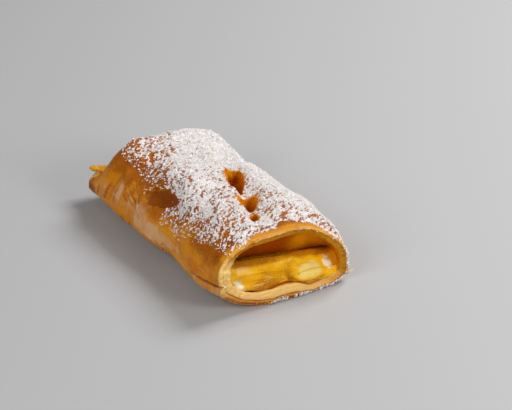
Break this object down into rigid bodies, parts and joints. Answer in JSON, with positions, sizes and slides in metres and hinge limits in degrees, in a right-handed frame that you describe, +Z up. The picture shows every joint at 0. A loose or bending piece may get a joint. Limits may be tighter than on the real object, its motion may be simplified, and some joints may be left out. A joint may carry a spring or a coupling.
{
  "type": "custard filled puff pastry",
  "caption": "Folded puff pastry pocket, open at both ends and torn open along the seam on its crown, filled with custard that shows in its mouth.",
  "frame": {"origin": "middle of the pastry's bounding box, at the level of the surface that it rests on", "axes": "+Y runs along the pastry from its open mouth at -Y to its far end, +X to its right seen from the mouth, +Z up"},
  "size_m": [0.0708, 0.128, 0.0364],
  "materials": {
    "crust": "baked, dry and flaky, with a faint egg-wash sheen",
    "custard": "moist and glossy"
  },
  "bodies": {
    "root": {"crust": "crust", "custard": "custard"}
  },
  "joints": []
}
